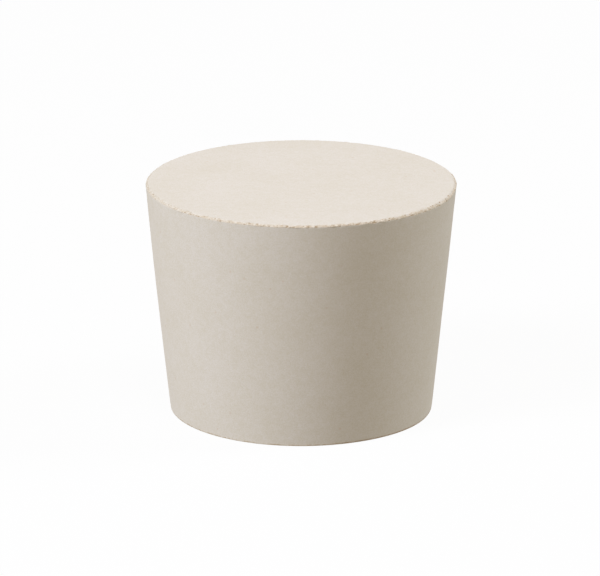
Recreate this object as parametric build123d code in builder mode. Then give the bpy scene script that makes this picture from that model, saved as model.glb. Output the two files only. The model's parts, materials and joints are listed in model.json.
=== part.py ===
from build123d import *

import os
from math import cos, hypot, pi, radians, sin

# A solid stopper for a tapered laboratory neck, moulded in rubber as one piece.
# Millimetres, +Z up. The origin is the centre of the small end face, on which it stands.

# Body: a plain frustum between two flat ends, narrowing by 1 in 5 like the neck that it seals.
large_diameter = 60.0
small_diameter = 51.0
height = 45.0
small_edge_round = 0.2

# Land: the narrow torn bevel round the large end, where the moulding flash was trimmed off.
land_width = 0.5
land_depth = 0.4

# Nicks: shallow scoops torn out of the land, each wandering from even spacing by up to the drift.
# Each has the radius of the ball that would scoop it and the depth that the ball bites.
nick_spacing = 2.8
nick_drift = 0.4
short_nick_radius = 0.5
short_nick_bite = 0.12
middle_nick_radius = 0.75
middle_nick_bite = 0.16
long_nick_radius = 1.0
long_nick_bite = 0.19

# Burrs: the few specks of flash that the trimming left standing proud of the side.
burr_radius = 0.35
burr_height = 0.1
burr_bearings = (0, 128, 241)

large_radius = large_diameter / 2
small_radius = small_diameter / 2
side_slope = (large_radius - small_radius) / height

# The land runs from its crest, on the large end face, down to its foot, on the tapered side.
crest_radius = large_radius - land_width
foot_height = height - land_depth
foot_radius = large_radius - land_depth * side_slope
land_length = hypot(foot_radius - crest_radius, land_depth)
land_normal = (land_depth / land_length, (foot_radius - crest_radius) / land_length)

nick_sizes = (
    (short_nick_radius, short_nick_bite),
    (middle_nick_radius, middle_nick_bite),
    (long_nick_radius, long_nick_bite),
)
nick_count = round(pi * large_diameter / nick_spacing)

# A burr's ball sits in the rubber so that it stands its height proud of the side.
burr_lift = (burr_height - burr_radius) / land_normal[0]


def uneven(index, root):
    """A share of 1 that jumps from each index to the next and never repeats."""
    return index * root**0.5 % 1


def rim_plane(bearing, along, outwards):
    """A plane on the land at a bearing in degrees, its X along the land's normal and its Z along the rim.

    along runs from 0 at the crest to 1 at the foot, and outwards lifts the plane off the land.
    """
    radius = crest_radius + along * (foot_radius - crest_radius) + outwards * land_normal[0]
    level = height - along * land_depth + outwards * land_normal[1]
    ahead = radians(bearing)
    return Plane(
        origin=(radius * cos(ahead), radius * sin(ahead), level),
        x_dir=(land_normal[0] * cos(ahead), land_normal[0] * sin(ahead), land_normal[1]),
        z_dir=(-sin(ahead), cos(ahead), 0),
    )


def nick_planes(size, radius, bite):
    """The planes of every nick of one size, each ball sunk into the land by its bite."""
    planes = []
    for index in range(nick_count):
        if int(uneven(index, 3) * len(nick_sizes)) == size:
            drift = (uneven(index, 2) - 0.5) * 2 * nick_drift
            bearing = (index + drift / nick_spacing) * 360 / nick_count
            planes.append(rim_plane(bearing, uneven(index, 5), radius - bite))
    return planes


with BuildPart() as stopper:
    with BuildSketch(Plane.XZ) as half_section:
        with BuildLine():
            Polyline(
                (0, 0),
                (small_radius, 0),
                (foot_radius, foot_height),
                (crest_radius, height),
                (0, height),
                close=True,
            )
        make_face()
        small_corner = half_section.vertices().group_by(Axis.Y)[0].sort_by(Axis.X)[-1]
        fillet(small_corner, radius=small_edge_round)
    revolve(axis=Axis.Z)

    # A ball's seam faces off the land, clear of a nick; a burr's is turned round into the rubber.
    with Locations([rim_plane(bearing, 1, burr_lift) for bearing in burr_bearings]):
        Sphere(burr_radius, rotation=(0, 0, 180))

    for size, (nick_radius, nick_bite) in enumerate(nick_sizes):
        with Locations(nick_planes(size, nick_radius, nick_bite)):
            Sphere(nick_radius, mode=Mode.SUBTRACT)

stopper.part.label = "stopper"

os.makedirs("parts", exist_ok=True)
export_step(stopper.part, "parts/stopper.step")
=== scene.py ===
import json
import math
from typing import NamedTuple

import bpy
import numpy as np
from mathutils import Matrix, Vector


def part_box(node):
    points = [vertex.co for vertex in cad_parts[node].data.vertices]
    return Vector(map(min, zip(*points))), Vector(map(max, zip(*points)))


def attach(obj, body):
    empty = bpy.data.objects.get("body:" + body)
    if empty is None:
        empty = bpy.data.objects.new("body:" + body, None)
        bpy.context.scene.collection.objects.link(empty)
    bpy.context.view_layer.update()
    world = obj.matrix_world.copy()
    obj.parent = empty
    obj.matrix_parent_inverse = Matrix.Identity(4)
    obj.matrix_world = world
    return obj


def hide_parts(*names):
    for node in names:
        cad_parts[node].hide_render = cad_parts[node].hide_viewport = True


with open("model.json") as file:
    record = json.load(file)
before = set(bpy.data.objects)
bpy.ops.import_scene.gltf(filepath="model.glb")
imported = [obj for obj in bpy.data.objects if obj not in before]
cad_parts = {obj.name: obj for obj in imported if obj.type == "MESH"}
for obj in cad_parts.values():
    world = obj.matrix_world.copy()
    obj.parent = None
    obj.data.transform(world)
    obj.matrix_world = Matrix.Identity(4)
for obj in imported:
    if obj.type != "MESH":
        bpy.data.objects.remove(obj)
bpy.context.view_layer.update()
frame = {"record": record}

bl_info = {
    "name": "Rubber stopper",
    "version": (1, 0, 0),
    "blender": (4, 5, 0),
    "location": "3D View > Sidebar > Stopper",
    "description": "A trimmed rubber laboratory stopper on a pale studio floor",
    "category": "Add Mesh",
}

# The part's own measures, in metres, as the frame gives them.
NODE = "stopper"
BODY = "root"
NODE_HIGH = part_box(NODE)[1]
MOUNTS = {mount["name"]: mount for mount in frame["record"]["mounts"]}
HEIGHT = NODE_HIGH.z
FOOT_RADIUS = NODE_HIGH.y
MIDDLE_RADIUS = MOUNTS["neck_seat"]["dims"]["r_mm"] / 1000
BURR_REACH = NODE_HIGH.x - NODE_HIGH.y

MILLIMETRE = 0.001

# Seeds of the random layers, one for each, so that every run gives the same stopper.
FOOT_SEED = 11
CREST_SEED = 21
GRAIN_SEED = 31
CRUMB_SEED = 35
FLAKE_SEED = 41
NIBBLE_SEED = 42
NICK_SEED = 44
WAVE_SEED = 51
EDGE_SEED = 61

# Sizes of the patches in the land's noises, each for the coarsest layer.
FOOT_PATCH = 2.3 * MILLIMETRE
CREST_PATCH = 1.1 * MILLIMETRE
GRAIN_PATCH = 0.42 * MILLIMETRE
CRUMB_PATCH = 0.5 * MILLIMETRE
EDGE_PATCH = 0.5 * MILLIMETRE

# The side's faint waves: their sizes round the stopper and up it.
WAVE_ROUND = 12 * MILLIMETRE
WAVE_UP = 9 * MILLIMETRE

# The burr that sets the part's reach on the right: its own reach round the rim and up the land,
# and how far above the foot it is.
BURR_ROUND = 0.35 * MILLIMETRE
BURR_UP = 0.22 * MILLIMETRE
BURR_LEVEL = 0.05 * MILLIMETRE

# Where the radius is fuller, in degrees: the middle of the stretch and its spread.
FULLER_BEARING = 55
FULLER_SPREAD = 25

# Sizes of the patches in the rubber's colour and in its relief.
CLOUD_PATCH = 11 * MILLIMETRE
MOTTLE_PATCH = 1.4 * MILLIMETRE
SKIN_PATCH = 0.45 * MILLIMETRE
POWDER_PATCH = 0.17 * MILLIMETRE
SPECK_CELL = 2.6 * MILLIMETRE
INSIDE_PATCH = 0.6 * MILLIMETRE
COARSE_RELIEF = 0.6 * MILLIMETRE
FINE_RELIEF = 0.12 * MILLIMETRE


# Surface mathematics


def smooth_step(low, high, value):
    """0 below low, 1 above high, and 3x² - 2x³ between them, where x runs from 0 to 1."""
    share = np.clip((value - low) / (high - low), 0, 1)
    return share * share * (3 - 2 * share)


def lattice_noise(seed, around, along, girth, grain_around, grain_along):
    """Random heights from -1 to 1 at the corners of a lattice, joined smoothly.

    around closes on itself after girth, and along is open. Each point takes its four corners'
    heights, weighted by 3x² - 2x³ of its place in the cell both ways.
    """
    columns = max(3, round(girth / grain_around))
    rows = int(np.ceil((along.max() - along.min()) / grain_along)) + 2
    heights = np.random.default_rng(seed).uniform(-1, 1, (columns, rows))
    across = around / girth * columns
    up = (along - along.min()) / grain_along
    column, row = np.floor(across).astype(int), np.floor(up).astype(int)
    weight_across = smooth_step(0, 1, across - column)
    weight_up = smooth_step(0, 1, up - row)
    left, right = column % columns, (column + 1) % columns
    low = heights[left, row] * (1 - weight_across) + heights[right, row] * weight_across
    high = heights[left, row + 1] * (1 - weight_across) + heights[right, row + 1] * weight_across
    return low * (1 - weight_up) + high * weight_up


def layered_noise(seed, around, along, girth, grain, layers):
    """Lattice noises summed, each layer with half the grain and 0.6 of the height of the last."""
    total = np.zeros_like(around)
    height = 1.0
    for layer in range(layers):
        total += height * lattice_noise(seed + layer, around, along, girth, grain, grain)
        grain /= 2
        height *= 0.6
    return total


def scattered_chips(seed, around, along, girth, chip, lean):
    """How deep each point lies in scattered chips, from 0 at a chip's lip to 1 at its deepest.

    One chip lies at a random place in each cell of a lattice, chip.pitch long and chip.rise high.
    It is an ellipse of random size, most of them small. With x and y running from -1 to 1 across
    it, its depth is its size times (1 - x² - y²)(1 + lean y), so that with a lean it drops steeply
    from its upper lip and runs out below. The deepest of the nine nearest chips counts.
    """
    columns = round(girth / chip.pitch)
    rows = int(np.ceil((along.max() - along.min()) / chip.rise)) + 2
    random = np.random.default_rng(seed)
    place_around = random.uniform(0, 1, (columns, rows + 2))
    place_along = random.uniform(0, 1, (columns, rows + 2))
    size = chip.smallest + (1 - chip.smallest) * random.uniform(0, 1, (columns, rows + 2)) ** 2
    across = around / girth * columns
    up = (along - along.min()) / chip.rise + 1
    column, row = np.floor(across).astype(int), np.floor(up).astype(int)
    depth = np.zeros_like(around)
    for step_across in (-1, 0, 1):
        for step_up in (-1, 0, 1):
            cell = (column + step_across) % columns, row + step_up
            x = (across - column - step_across - place_around[cell]) * chip.pitch
            y = (up - row - step_up - place_along[cell]) * chip.rise
            x = x / (size[cell] * chip.reach)
            y = y / (size[cell] * chip.reach * chip.rise / chip.pitch)
            here = (1 - x**2 - y**2) * (1 + lean * y) * size[cell]
            depth = np.maximum(depth, np.where(x**2 + y**2 < 1, here, 0))
    return depth


class Chip(NamedTuple):
    """One kind of chip: its lattice's cell, its largest half length, and its smallest size against 1."""

    pitch: float
    rise: float
    reach: float
    smallest: float


# The three kinds of chip that the trimming tore out of the land.
FLAKE = Chip(pitch=0.56 * MILLIMETRE, rise=0.3 * MILLIMETRE, reach=0.34 * MILLIMETRE, smallest=0.4)
NIBBLE = Chip(pitch=0.34 * MILLIMETRE, rise=0.2 * MILLIMETRE, reach=0.22 * MILLIMETRE, smallest=0.4)
NICK = Chip(pitch=1.4 * MILLIMETRE, rise=0.75 * MILLIMETRE, reach=0.4 * MILLIMETRE, smallest=0.4)


class Outline:
    """The stopper's half section, walked from the middle of the small end to that of the large one.

    It is a chain of straight runs whose corners are eased: a point of it is the mean of the chain
    over a short length before and after, and its normal is that of the chord across that length.
    """

    def __init__(self, form):
        slope = (FOOT_RADIUS - MIDDLE_RADIUS) / (HEIGHT / 2 - form.land_depth)
        large_radius = FOOT_RADIUS + slope * form.land_depth
        small_radius = large_radius - slope * HEIGHT
        self.slope = slope
        self.radii = np.array([0, small_radius, FOOT_RADIUS, large_radius - form.land_width, 0])
        self.levels = np.array([0, 0, HEIGHT - form.land_depth, HEIGHT, HEIGHT])
        runs = np.hypot(np.diff(self.radii), np.diff(self.levels))
        self.marks = np.concatenate([[0], np.cumsum(runs)])
        self.corner, self.foot, self.crest, self.end = self.marks[1:]
        self.eases = (form.edge_ease, form.land_ease)

    def chain(self, walked):
        """Radius and level at a walked length, with the corners still sharp."""
        radius = np.interp(walked, self.marks, self.radii)
        level = np.interp(walked, self.marks, self.levels)
        return np.stack([radius, level])

    def section(self, walked):
        """Radius, level, and the outward normal's two parts at each walked length."""
        middle = (self.corner + self.foot) / 2
        ease = np.where(walked < middle, *self.eases)
        ease = np.minimum(ease, np.minimum(walked, self.end - walked))
        steps = np.linspace(-1, 1, 17)
        places = np.mean([self.chain(walked + ease * step) for step in steps], axis=0)
        reach = np.maximum(ease, 0.02 * MILLIMETRE)
        ahead = self.chain(walked + reach) - self.chain(walked - reach)
        ahead /= np.hypot(*ahead)
        return places[0], places[1], ahead[1], -ahead[0]


def ring_layout(outline):
    """The walked length of every ring of points and how many points it has, as two arrays.

    The torn land has the closest rings and the most points. Away from it the points halve from
    one stretch to the next, and a single point closes each end face.
    """
    mm = MILLIMETRE
    small, foot, crest, end = outline.corner, outline.foot, outline.crest, outline.end
    stretches = (
        (0, 0, 1, 1),
        (small * 0.1, small * 0.25, 2, 32),
        (small * 0.45, small * 0.6, 2, 64),
        (small * 0.75, small * 0.86, 2, 128),
        (small * 0.93, small - 1.5 * mm, 2, 256),
        (small - 0.9 * mm, small - 0.5 * mm, 3, 512),
        (small - 0.32 * mm, small + 0.4 * mm, 10, 1024),
        (small + 0.6 * mm, foot - 2.2 * mm, 22, 512),
        (foot - 1.5 * mm, foot - 0.6 * mm, 6, 1024),
        (foot - 0.5 * mm, crest + 0.4 * mm, 23, 2048),
        (crest + 0.48 * mm, crest + 1.3 * mm, 6, 1024),
        (crest + 1.9 * mm, crest + 8 * mm, 6, 512),
        (crest + 10 * mm, crest + 15 * mm, 4, 256),
        (crest + 17 * mm, crest + 20 * mm, 3, 128),
        (crest + 22 * mm, crest + 25 * mm, 3, 64),
        (crest + 26.5 * mm, crest + 28 * mm, 2, 32),
        (end, end, 1, 1),
    )
    walked = np.concatenate([np.linspace(first, last, rings) for first, last, rings, _ in stretches])
    points = np.concatenate([np.full(rings, count) for _, _, rings, count in stretches])
    return walked, points


def ring_faces(points):
    """The faces between neighbouring rings, as lists of point numbers, wound to face outwards.

    Rings of equal number are joined by squares. Where one has twice the points of the other,
    each pair of its steps is joined to one step of the other by three triangles.
    """
    starts = np.concatenate([[0], np.cumsum(points)[:-1]])
    faces = []
    for lower, upper, low, high in zip(starts, starts[1:], points, points[1:]):
        if low == high:
            here = np.arange(low)
            after = (here + 1) % low
            squares = [lower + here, lower + after, upper + after, upper + here]
            faces += np.stack(squares, 1).tolist()
        elif low == 1 or high == 1:
            rim, count, tip = (upper, high, lower) if low == 1 else (lower, low, upper)
            here = rim + np.arange(count)
            after = rim + (np.arange(count) + 1) % count
            ends = [after, here] if low == 1 else [here, after]
            faces += np.stack([*ends, np.full(count, tip)], 1).tolist()
        else:
            fine, coarse, count = (upper, lower, low) if high > low else (lower, upper, high)
            step = np.arange(count)
            this, following = coarse + step, coarse + (step + 1) % count
            first = fine + 2 * step
            second = first + 1
            third = fine + (2 * step + 2) % (2 * count)
            corners = [(this, second, first), (this, following, second), (following, third, second)]
            if high < low:
                corners = [corner[::-1] for corner in corners]
            for corner in corners:
                faces += np.stack(corner, 1).tolist()
    return faces


def rounded_land(form, outline, walked, bearing):
    """How far outwards and downwards the land stands off its straight run, more so to the right.

    With t running from 0 at the foot to 1 at the crest, the land is filled out by a share towards
    a quarter of an ellipse, fall t - round (1 - √(1 - t²)), and drawn in by t times the right's
    extra width. Its foot goes down by (1 - t) times the right's extra depth. Both fade out over a
    fixed reach, the crest's step inwards over the flat end and the foot's down the side. At the far
    right and at the back the land is shallow: its foot rises, and half of the rest is left out.
    """
    fade = 4 * MILLIMETRE
    width = outline.crest - outline.foot
    fall = outline.radii[2] - outline.radii[3]
    right = np.sin(bearing)
    at_right = smooth_step(0.95, 0.985, right)
    at_back = smooth_step(-0.3, -0.9, np.cos(bearing))
    shallow = 0.5 * np.maximum(at_right, at_back)
    t = np.clip((walked - outline.foot) / width, 0, 1)
    ellipse = fall * t - form.land_round * (1 - np.sqrt(1 - t**2))
    share = form.land_fill * smooth_step(-1.1, 0.7, right) * (1 - shallow)
    ample = smooth_step(0.2, 0.9, right) * (1 - shallow)
    filled = share * ellipse - form.right_width * ample * t
    filled = filled * smooth_step(fade, 0, walked - outline.crest)
    deeper = form.right_depth * ample - form.shallow_rise * shallow
    lowered = deeper * (1 - t) * smooth_step(-fade, 0, walked - outline.foot)
    return filled - outline.slope * lowered, lowered


def land_mask(form, width, v, foot_wave, crest_wave, right):
    """1 on the torn land and 0 off it, from its wavy foot to its ragged crest.

    Its foot strays by a wave. Its crest strays by another, and lies lower where the land keeps its
    skin, which it does more to the right and most at the far right.
    """
    blur = 0.04 * MILLIMETRE
    kept = form.right_skin * smooth_step(-1.1, 0.7, right)
    kept += form.far_skin * smooth_step(0.85, 0.97, right)
    foot_edge = form.foot_wander * foot_wave
    crest_edge = width * (1 - kept) + form.crest_wander * crest_wave
    above_foot = smooth_step(foot_edge - blur, foot_edge + blur, v)
    below_crest = smooth_step(crest_edge + 2 * blur, crest_edge - 3 * blur, v)
    return above_foot * below_crest


def rim_burr(around, v, girth):
    """Height of the burr at the foot of the land on the right, e^-(x² + y²) of its reach.

    x and y are the distances from its middle, round the rim and up the land, each over its reach.
    """
    x = (around - girth / 4) / BURR_ROUND
    y = (v - BURR_LEVEL) / BURR_UP
    return BURR_REACH * np.exp(-(x**2) - y**2)


def torn_land(form, outline, around, walked, girth, bearing):
    """Height of the torn surface off the eased outline, how torn it is and how deep in a chip.

    Across the land, v is the length walked from its foot towards its crest. Where the mask is 1,
    the height is crumbs, which are the upper part of a layered noise, and a fine grain, less chips
    of three kinds. The flakes and nibbles are deeper along the foot, and deepest at the front. The
    nicks are larger and rarer, and count as torn themselves. At the far right the flakes' deepest
    parts bite as deep as they do. All but the burr fades out a little way off the land.
    """
    mm = MILLIMETRE
    width = outline.crest - outline.foot
    v = walked - outline.foot
    flat = np.zeros_like(v)
    right = np.sin(bearing)
    front = np.clip(np.cos(bearing - 0.25), 0, 1) ** 4
    strength = 1 - form.side_calm * abs(right)

    foot_wave = 0.6 * layered_noise(FOOT_SEED, around, flat, girth, FOOT_PATCH, 4)
    crest_wave = 0.6 * layered_noise(CREST_SEED, around, flat, girth, CREST_PATCH, 3)
    torn = land_mask(form, width, v, foot_wave, crest_wave, right)

    grain = layered_noise(GRAIN_SEED, around, walked, girth, GRAIN_PATCH, 2)
    crumbs = np.clip(layered_noise(CRUMB_SEED, around, walked, girth, CRUMB_PATCH, 3), 0, 1)
    flakes = scattered_chips(FLAKE_SEED, around, walked, girth, FLAKE, 0.9)
    nibbles = scattered_chips(NIBBLE_SEED, around, walked, girth, NIBBLE, 0.7)
    low = smooth_step(0.5 * width, 0.1 * width, v - form.foot_wander * foot_wave)
    # Partly painted shade: a line of chips along the land's foot, stronger at the front, whose tan colour
    # stands in for the shade in the crease where the land meets the side.
    foot_seam_and_shade = form.foot_line_and_shade * (low + front) * np.clip(0.5 + 0.9 * foot_wave, 0, 1.3)
    scatter = form.scatter * (1 + 0.7 * front) * (0.7 + 0.3 * low)
    scatter = scatter * (1.25 * flakes + 0.6 * nibbles)
    chip = np.clip(scatter + foot_seam_and_shade - 0.5 * crumbs, 0, 1.2) * torn * strength

    on_land = smooth_step(-0.12 * mm, 0.06 * mm, v)
    on_land = on_land * smooth_step(width + 0.1 * mm, width - 0.1 * mm, v)
    nicks = scattered_chips(NICK_SEED, around, walked, girth, NICK, 0)
    nicks = form.nick_depth * (1 + 0.2 * right) * nicks
    far_right = smooth_step(0.93, 0.98, right)
    flecks = form.far_flakes * far_right * np.clip(2 * flakes - 1, 0, 1)
    nicks = on_land * np.maximum(nicks, flecks)
    torn = np.maximum(torn, smooth_step(0, 0.3, nicks))
    chip = np.maximum(chip, nicks)

    near = smooth_step(-1.2 * mm, -0.8 * mm, v) * smooth_step(1.4 * mm, 1.0 * mm, v - width)
    rough = form.crumb_height * crumbs + form.grain_height * grain
    height = torn * strength * rough - form.chip_depth * chip
    burr = rim_burr(around, v, girth)
    return near * height + burr, near * torn, near * np.clip(chip, 0, 1)


def small_edge_tear(outline, around, walked, girth, bearing):
    """How torn and how chipped the small end's edge is: a thin uneven line, browner on the right, where the
    extra brown is painted shade.

    The line lies just up the side from the corner, and a noise breaks it up.
    """
    mm = MILLIMETRE
    away = abs(walked - outline.corner - 0.12 * mm)
    edge = smooth_step(0.26 * mm, 0.12 * mm, away)
    dots = layered_noise(EDGE_SEED, around, walked, girth, EDGE_PATCH, 2)
    torn = edge * np.clip(0.8 + 0.5 * dots, 0, 1)
    # Painted shade: the edge line is browner on the right half, the side the light falls on least.
    browner = 0.6 * smooth_step(0, 0.45, np.sin(bearing))
    chip = edge * np.clip(0.3 + 0.35 * dots + browner, 0, 1)
    return torn, chip


def stopper_surface(form):
    """The whole stopper as a function of the bearing round it and the length walked up its outline.

    A point is the eased outline's point at that length, turned to its bearing, and moved along the
    outline's normal by the torn land's height, the side's swell and its faint unevenness. The
    swell is 1 - x² of the height, x from -1 to 1, on the left of the picture. Then the radius is
    fuller by e^-x² at the front right, and trimmed on the left and at the far right, more so there
    near the large end. Those fade out over the end faces.
    """
    outline = Outline(form)
    walked_rings, points = ring_layout(outline)
    ring = np.repeat(np.arange(len(points)), points)
    starts = np.concatenate([[0], np.cumsum(points)[:-1]])
    turn = (np.arange(points.sum()) - starts[ring]) / points[ring]
    bearing = turn * 2 * math.pi
    walked = walked_rings[ring]
    girth = 2 * math.pi * FOOT_RADIUS
    around = turn * girth
    radius, level, normal_out, normal_up = outline.section(walked)

    height, torn, chip = torn_land(form, outline, around, walked, girth, bearing)
    on_side = smooth_step(0, 2 * MILLIMETRE, level) * smooth_step(HEIGHT, HEIGHT - 2 * MILLIMETRE, level)
    middle = 1 - (2 * level / HEIGHT - 1) ** 2
    left = smooth_step(0.2, 1.0, -np.sin(bearing))
    height = height + form.side_swell * middle * left * on_side
    waves = lattice_noise(WAVE_SEED, around, walked, girth, WAVE_ROUND, WAVE_UP)
    height = height + form.unevenness * on_side * waves

    edge, edge_chip = small_edge_tear(outline, around, walked, girth, bearing)
    height = height - form.edge_tear * edge_chip
    torn, chip = np.maximum(torn, edge), np.maximum(chip, form.edge_line * edge_chip)

    outwards, downwards = rounded_land(form, outline, walked, bearing)
    out = radius + height * normal_out + outwards
    fuller = form.front_right * np.exp(-(((turn * 360 - FULLER_BEARING) / FULLER_SPREAD) ** 2))
    far_right = smooth_step(0.9, 0.99, np.sin(bearing)) * smooth_step(-0.25, 0, np.cos(bearing))
    trim = form.left_trim * left
    trim += form.right_trim * far_right * (1 + smooth_step(0.7, 0.95, level / HEIGHT))
    out = out + (fuller - trim) * smooth_step(0.5 * FOOT_RADIUS, 0.8 * FOOT_RADIUS, radius)
    up = np.clip(level + height * normal_up - downwards, 0, HEIGHT)
    place = np.stack([out * np.sin(bearing), -out * np.cos(bearing), up], 1)
    return place, ring_faces(points), torn, chip


def add_mesh(name, places, faces, material, attributes):
    """A smooth-shaded object at the origin from an array of points, its faces and its point values."""
    mesh = bpy.data.meshes.new(name)
    mesh.from_pydata(places.tolist(), [], faces)
    mesh.polygons.foreach_set("use_smooth", np.ones(len(faces), bool))
    for label, values in attributes.items():
        layer = mesh.attributes.new(label, "FLOAT", "POINT")
        layer.data.foreach_set("value", values.astype(np.float32))
    mesh.materials.append(material)
    mesh.update()
    piece = bpy.data.objects.new(name, mesh)
    bpy.context.scene.collection.objects.link(piece)
    return piece


# Shader mathematics


class Shader:
    """A node tree, and the one way in which this file adds a node to it."""

    def __init__(self, tree):
        tree.nodes.clear()
        self.tree = tree

    def node(self, kind, settings=None, sockets=None, output=0):
        """Adds a node, sets its settings, then fills its sockets with values or links them."""
        node = self.tree.nodes.new(kind)
        for name, value in (settings or {}).items():
            setattr(node, name, value)
        for name, value in (sockets or {}).items():
            if isinstance(value, Signal):
                self.tree.links.new(value.socket, node.inputs[name])
            else:
                node.inputs[name].default_value = value
        return Signal(self, node.outputs[output]) if node.outputs else None

    def blend(self, share, low, high):
        """A colour that goes from low to high as share goes from 0 to 1."""
        return self.node("ShaderNodeMix", {"data_type": "RGBA"}, {0: share, 6: low, 7: high}, 2)

    def tinted(self, colour, tint):
        """A colour multiplied by a tint."""
        settings = {"data_type": "RGBA", "blend_type": "MULTIPLY"}
        return self.node("ShaderNodeMix", settings, {0: 1.0, 6: colour, 7: tint}, 2)

    def noise(self, place, grain, detail=2.0, roughness=0.5):
        """A smooth noise about 0.5, whose patches are about one grain across."""
        sockets = {"Vector": place, "Scale": 1 / grain, "Detail": detail, "Roughness": roughness}
        return self.node("ShaderNodeTexNoise", {}, sockets)

    def attribute(self, name):
        """A value that the mesh holds at its points."""
        return self.node("ShaderNodeAttribute", {"attribute_name": name}, {}, 2)


class Signal:
    """A shader socket that stands in arithmetic: each operation adds its Math node."""

    def __init__(self, shader, socket):
        self.shader = shader
        self.socket = socket

    def math(self, operation, *values, clamp=False):
        settings = {"operation": operation, "use_clamp": clamp}
        return self.shader.node("ShaderNodeMath", settings, dict(enumerate(values)))

    def __add__(self, other):
        return self.math("ADD", self, other)

    __radd__ = __add__

    def __sub__(self, other):
        return self.math("SUBTRACT", self, other)

    def __rsub__(self, other):
        return self.math("SUBTRACT", other, self)

    def __mul__(self, other):
        return self.math("MULTIPLY", self, other)

    __rmul__ = __mul__

    def clamped(self):
        """The value kept between 0 and 1."""
        return self.math("ADD", self, 0.0, clamp=True)

    def above(self, low, high):
        """0 where the value is under low, 1 where it is over high, and smooth between them."""
        settings = {"interpolation_type": "SMOOTHSTEP"}
        return self.shader.node("ShaderNodeMapRange", settings, {0: self, 1: low, 2: high})


def opaque(colour):
    """A colour with full opacity, as a colour socket takes it."""
    return (*colour, 1)


def rubber_material(finish):
    """Matte filled rubber: cream, faintly mottled with tan, with a few brown specks.

    Where the mesh says it is torn, the rubber shows its yellower inside, and browner in the chips, where the
    brown is partly the inside's colour and partly painted shade that deepens with a chip's depth.
    The inside is a little darker and cooler to the left: painted shade on the key-lit side of the rim.
    """
    material = bpy.data.materials.new("stopper_rubber")
    material.use_nodes = True
    shader = Shader(material.node_tree)
    place = shader.node("ShaderNodeTexCoord", {}, {}, 3)
    torn = shader.attribute("torn")
    chip = shader.attribute("chip")

    cloud = shader.noise(place, CLOUD_PATCH, 1.0) - 0.5
    mottle = shader.noise(place, MOTTLE_PATCH, 2.0) - 0.5
    grain = shader.noise(place, SKIN_PATCH, 2.0) - 0.5
    powder = shader.noise(place, POWDER_PATCH, 1.0) - 0.5
    shade = 0.5 + finish.mottle * (0.5 * cloud + 0.7 * mottle + 0.9 * grain + 2.0 * powder)
    skin = shader.blend(shade.clamped(), opaque(finish.skin_tan), opaque(finish.skin_pale))

    cells = {"Vector": place, "Scale": 1 / SPECK_CELL, "Randomness": 1.0}
    away = shader.node("ShaderNodeTexVoronoi", {}, cells)
    cell_colour = shader.node("ShaderNodeTexVoronoi", {}, cells, 1)
    chosen = shader.node("ShaderNodeSeparateColor", {}, {0: cell_colour}).above(0.68, 0.7)
    stain = chosen * (1 - away.above(0.05, 0.13)) * finish.speck
    skin = shader.blend(stain, skin, opaque(finish.speck_brown))

    yellower = shader.noise(place, INSIDE_PATCH, 3.0, 0.6).above(0.35, 0.65)
    inside = shader.blend(yellower, opaque(finish.torn_pale), opaque(finish.torn_tan))
    # Partly painted shade: the chips turn tan, then brown where they are deepest, darker with depth as a
    # recess is shaded.
    inside = shader.blend(chip.above(0.1, 0.55), inside, opaque(finish.chip_tan_shade))
    inside = shader.blend(chip.above(0.6, 1.0), inside, opaque(finish.chip_brown_shade))
    across = shader.node("ShaderNodeSeparateXYZ", {}, {0: place})
    # Painted shade: the torn rubber is darker and cooler on the left, where the key light falls, than on the
    # right.
    rightwards = across.above(-FOOT_RADIUS, 0.3 * FOOT_RADIUS)
    tint = shader.blend(rightwards, opaque(finish.left_painted_shade), (1, 1, 1, 1))
    inside = shader.tinted(inside, tint)
    colour = shader.blend(torn.clamped(), skin, inside)

    coarse = shader.noise(place, COARSE_RELIEF, 3.0, 0.6)
    fine = shader.noise(place, FINE_RELIEF, 2.0)
    relief = (coarse + 0.35 * fine) * (1 + 3 * torn)
    bump = {"Strength": 0.6, "Distance": finish.relief, "Height": relief}
    normal = shader.node("ShaderNodeBump", {}, bump)
    roughness = (finish.roughness + 0.1 * mottle + 0.08 * torn).clamped()
    sockets = {
        "Base Color": colour,
        "Roughness": roughness,
        "Specular IOR Level": finish.specular,
        "Normal": normal,
    }
    surface = shader.node("ShaderNodeBsdfPrincipled", {}, sockets)
    shader.node("ShaderNodeOutputMaterial", {}, {"Surface": surface})
    return material


def seen_directly(shader):
    """1 for what the camera sees, straight on, reflected or through glass, and 0 for stray light."""
    camera, glossy, through = (shader.node("ShaderNodeLightPath", {}, {}, ray) for ray in (0, 3, 6))
    return (camera + glossy + through).clamped()


def floor_material(stage):
    """Paper on the floor: mostly plain white to the eye, with a share of matte that keeps the shadow."""
    material = bpy.data.materials.new("studio_floor")
    material.use_nodes = True
    shader = Shader(material.node_tree)
    matte = shader.node("ShaderNodeBsdfDiffuse", {}, {"Color": opaque(stage.floor_colour)})
    white = shader.node("ShaderNodeEmission", {}, {"Strength": 1.0})
    share = seen_directly(shader) * stage.floor_white
    surface = shader.node("ShaderNodeMixShader", {}, {0: share, 1: matte, 2: white})
    shader.node("ShaderNodeOutputMaterial", {}, {"Surface": surface})
    return material


def studio_world(stage):
    """White to the eye, and for straying light one plain soft colour from all round."""
    world = bpy.data.worlds.new("studio_world")
    world.use_nodes = True
    shader = Shader(world.node_tree)
    room = {"Color": opaque(stage.room_colour), "Strength": stage.room_light}
    light = shader.node("ShaderNodeBackground", {}, room)
    white = shader.node("ShaderNodeBackground", {}, {"Color": (1, 1, 1, 1), "Strength": 1.0})
    surface = shader.node("ShaderNodeMixShader", {}, {0: seen_directly(shader), 1: light, 2: white})
    shader.node("ShaderNodeOutputWorld", {}, {"Surface": surface})
    return world


def studio_direction(bearing, elevation):
    """The way from the stopper to a lamp or the camera. Bearing 0 is in front, and grows to the right."""
    level = math.cos(elevation)
    return Vector((math.sin(bearing) * level, -math.cos(bearing) * level, math.sin(elevation)))


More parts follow.
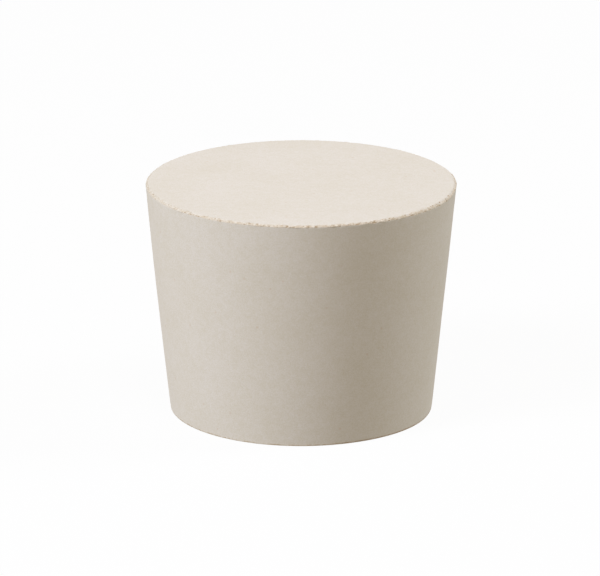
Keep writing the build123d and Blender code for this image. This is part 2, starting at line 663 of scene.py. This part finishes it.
def add_softbox(softbox, target, stage):
    """A square soft lamp at the stage's distance from the target, turned to face it."""
    lamp = bpy.data.lights.new(softbox.name, "AREA")
    lamp.shape = "SQUARE"
    lamp.size = stage.softbox_width
    lamp.energy = softbox.power * stage.light
    lamp.color = softbox.colour
    away = studio_direction(math.radians(softbox.bearing), math.radians(softbox.elevation))
    holder = bpy.data.objects.new(softbox.name, lamp)
    holder.location = target + away * stage.softbox_distance
    holder.rotation_euler = away.to_track_quat("Z", "Y").to_euler()
    holder.visible_camera = False
    bpy.context.scene.collection.objects.link(holder)


# Settings


def length(name, description, default):
    return bpy.props.FloatProperty(
        name=name, description=description, default=default, unit="LENGTH", precision=5
    )


def share(name, description, default):
    return bpy.props.FloatProperty(name=name, description=description, default=default)


def colour(name, description, default):
    return bpy.props.FloatVectorProperty(
        name=name, description=description, default=default, subtype="COLOR", size=3, min=0, max=1
    )


def angle(name, description, default):
    return bpy.props.FloatProperty(
        name=name, description=description, default=math.radians(default), subtype="ANGLE"
    )


class StopperForm(bpy.types.PropertyGroup):
    """Sizes of the stopper's surface that the plain solid doesn't hold."""

    land_width: length("Land width", "Torn land's reach in from the edge", 0.0005)
    land_depth: length("Land depth", "Torn land's reach down the side", 0.0004)
    land_round: length("Land round", "Width of the quarter ellipse that the land fills out to", 0.00042)
    land_fill: share("Land fill", "How far the land fills out on the right", 0.4)
    edge_ease: length("Small edge ease", "Half length over which the small end's edge is eased", 0.00005)
    land_ease: length("Land ease", "Half length over which the land's edges are eased", 0.00008)
    foot_wander: length("Foot wander", "How far the land's lower edge strays", 0.00006)
    crest_wander: length("Crest wander", "How far the land's upper edge strays", 0.00024)
    crumb_height: length("Crumb height", "Height of the torn rubber's crumbs", 0.0001)
    grain_height: length("Grain height", "Height of the torn rubber's grain", 0.00003)
    chip_depth: length("Chip depth", "Depth of the deepest chips in the land", 0.00012)
    scatter: share("Scattered chips", "Strength of the chips scattered over the land", 0.6)
    nick_depth: share("Nick depth", "Strength of the nicks, the largest chips in the land", 1.1)
    far_flakes: share("Flakes at the far right", "Strength of the flakes at the far right", 1.0)
    # Partly real chips and partly painted shade in the crease along the land's foot.
    foot_line_and_shade: share("Foot line", "How chipped the land is along its foot", 0.22)
    side_calm: share("Calm at the sides", "How much smoother the land is to the left and right", 0.35)
    right_depth: length("Depth on the right", "How much deeper the land is on the right", 0.00016)
    right_width: length("Width on the right", "How much wider the land is on the right", 0.00008)
    shallow_rise: length("Shallow rise", "How much shallower the land is at the far right and back", 0.0003)
    right_skin: share("Skin on the right", "Share of the land that keeps its skin on the right", 0.18)
    far_skin: share("Skin at the far right", "Further share of the land that keeps its skin there", 0.2)
    edge_tear: length("Edge roughness", "Depth of the chips in the small end's edge", 0.00003)
    edge_line: share("Edge line", "How brown the small end's edge is", 0.8)
    left_trim: length("Left trim", "How much smaller the radius is on the left", 0.00012)
    right_trim: length("Right trim", "How much smaller the radius is at the far right", 0.00005)
    front_right: length("Front right", "How much larger the radius is at the front right", 0.0002)
    side_swell: length("Side swell", "How far the left side bows out at half height", 0.00015)
    unevenness: length("Unevenness", "Height of the side's faint waves", 0.00002)


class StopperFinish(bpy.types.PropertyGroup):
    """Colours and surface values of the rubber."""

    skin_pale: colour("Skin, pale", "Palest grains of the rubber's skin", (0.846, 0.795, 0.730))
    skin_tan: colour("Skin, tan", "Tannest grains of the rubber's skin", (0.756, 0.695, 0.580))
    torn_pale: colour("Torn, pale", "Palest torn rubber, on its crumbs", (0.845, 0.765, 0.65))
    torn_tan: colour("Torn, tan", "Yellower torn rubber between them", (0.71, 0.605, 0.46))
    # Partly the torn inside's colour and partly painted shade that darkens with a chip's depth.
    chip_tan_shade: colour("Chip tan", "Rubber in a shallow chip", (0.58, 0.455, 0.315))
    chip_brown_shade: colour("Chip brown", "Rubber deep in a chip", (0.42, 0.29, 0.17))
    # Painted shade: darkens and cools the torn rubber on the lit left against the right.
    left_painted_shade: colour("Left tint", "Multiplies the torn rubber's colour on the left", (0.95, 0.975, 0.995))
    speck_brown: colour("Speck brown", "Rubber in a speck", (0.60, 0.38, 0.20))
    mottle: share("Mottle", "Strength of the pale and tan mottling", 1.0)
    speck: share("Specks", "Strength of the brown specks", 0.22)
    roughness: share("Roughness", "Roughness of the matte skin", 0.8)
    specular: share("Specular", "Strength of the skin's reflection", 0.3)
    relief: length("Relief", "Height of the skin's fine grain", 0.00003)


class StudioStage(bpy.types.PropertyGroup):
    """The floor, the lamps and the camera."""

    floor_colour: colour("Floor", "Colour of the floor's matte share", (0.9, 0.9, 0.9))
    floor_white: share("Floor white", "Share of plain white in what the eye sees of the floor", 0.94)
    floor_width: length("Floor width", "Side of the square floor", 3.0)
    light: share("Light", "Share of the softboxes' full power", 1.0)
    softbox_distance: length("Softbox distance", "From each softbox to the stopper's middle", 1.5)
    softbox_width: length("Softbox width", "Side of each square softbox", 0.4)
    room_light: share("Room light", "Strength of the soft light from all round", 0.32)
    room_colour: colour("Room colour", "Colour of the soft light from all round", (1.0, 0.89, 0.71))
    camera_distance: length("Camera distance", "From the camera to the stopper's middle", 0.9522)
    camera_elevation: angle("Camera elevation", "How high the camera stands", 17.35)
    camera_lens: share("Lens", "Focal length in millimetres on a 36 mm sensor", 295.14)
    aim_right: length("Aim right", "How far right of the middle the camera aims", -0.00018)
    aim_up: length("Aim up", "How far above the middle the camera aims", 0.001)


class Softbox(NamedTuple):
    """One square lamp: where it stands, in degrees, its power in watts and its colour."""

    name: str
    bearing: float
    elevation: float
    power: float
    colour: tuple


KEY_COLOUR = (0.83, 0.88, 1.0)
FILL_COLOUR = (0.86, 0.92, 1.0)
TOP_COLOUR = (0.92, 0.9, 1.0)
SOFTBOXES = (
    Softbox("key_low", bearing=-65, elevation=20, power=10, colour=KEY_COLOUR),
    Softbox("key_high", bearing=-50, elevation=45, power=7, colour=KEY_COLOUR),
    Softbox("fill_low", bearing=110, elevation=15, power=3, colour=FILL_COLOUR),
    Softbox("fill_high", bearing=95, elevation=40, power=6, colour=FILL_COLOUR),
    Softbox("overhead", bearing=0, elevation=90, power=1.5, colour=TOP_COLOUR),
    Softbox("front_top", bearing=20, elevation=65, power=3, colour=TOP_COLOUR),
)


class MESH_OT_lab_stopper(bpy.types.Operator):
    """Build the stopper's surface, with its torn land and its rubber"""

    bl_idname = "mesh.lab_stopper"
    bl_label = "Stopper"

    def execute(self, context):
        form, finish = context.scene.stopper_form, context.scene.stopper_finish
        places, faces, torn, chip = stopper_surface(form)
        attributes = {"torn": torn, "chip": chip}
        piece = add_mesh("stopper_body", places, faces, rubber_material(finish), attributes)
        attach(piece, BODY)
        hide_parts(NODE)
        return {"FINISHED"}


class SCENE_OT_stopper_stage(bpy.types.Operator):
    """Set up the pale floor, the soft lamps, the room light and the camera"""

    bl_idname = "scene.stopper_stage"
    bl_label = "Studio"

    def execute(self, context):
        stage = context.scene.stopper_stage
        scene = context.scene
        half = stage.floor_width / 2
        corners = np.array([[-half, -half, 0], [half, -half, 0], [half, half, 0], [-half, half, 0]])
        floor = add_mesh("studio_floor", corners, [[0, 1, 2, 3]], floor_material(stage), {})
        # The floor lets the room's light through from below, as a light table does.
        floor.visible_diffuse = False
        floor.visible_shadow = False
        middle = Vector((0, 0, HEIGHT / 2))
        for softbox in SOFTBOXES:
            add_softbox(softbox, middle, stage)
        scene.world = studio_world(stage)
        scene.view_settings.view_transform = "Standard"

        lens = bpy.data.cameras.new("camera")
        lens.sensor_width = 36
        lens.lens = stage.camera_lens
        lens.clip_start = 0.05
        camera = bpy.data.objects.new("camera", lens)
        back = studio_direction(0, stage.camera_elevation)
        rightwards = Vector((1, 0, 0))
        upwards = back.cross(rightwards)
        camera.location = middle + back * stage.camera_distance
        aim = middle + rightwards * stage.aim_right + upwards * stage.aim_up
        camera.rotation_euler = (camera.location - aim).to_track_quat("Z", "Y").to_euler()
        scene.collection.objects.link(camera)
        scene.camera = camera
        return {"FINISHED"}


class VIEW3D_PT_stopper(bpy.types.Panel):
    """Lists the stopper's sizes and colours, and builds its pieces"""

    bl_label = "Stopper"
    bl_space_type = "VIEW_3D"
    bl_region_type = "UI"
    bl_category = "Stopper"

    def draw(self, context):
        for group in (context.scene.stopper_form, context.scene.stopper_finish, context.scene.stopper_stage):
            box = self.layout.box()
            for name in group.__annotations__:
                box.prop(group, name)
        self.layout.operator(MESH_OT_lab_stopper.bl_idname)
        self.layout.operator(SCENE_OT_stopper_stage.bl_idname)


CLASSES = (
    StopperForm,
    StopperFinish,
    StudioStage,
    MESH_OT_lab_stopper,
    SCENE_OT_stopper_stage,
    VIEW3D_PT_stopper,
)


def register():
    for one in CLASSES:
        bpy.utils.register_class(one)
    bpy.types.Scene.stopper_form = bpy.props.PointerProperty(type=StopperForm)
    bpy.types.Scene.stopper_finish = bpy.props.PointerProperty(type=StopperFinish)
    bpy.types.Scene.stopper_stage = bpy.props.PointerProperty(type=StudioStage)


def unregister():
    del bpy.types.Scene.stopper_form, bpy.types.Scene.stopper_finish, bpy.types.Scene.stopper_stage
    for one in reversed(CLASSES):
        bpy.utils.unregister_class(one)


def main():
    register()
    bpy.ops.mesh.lab_stopper()
    bpy.ops.scene.stopper_stage()


if __name__ == "__main__":
    main()
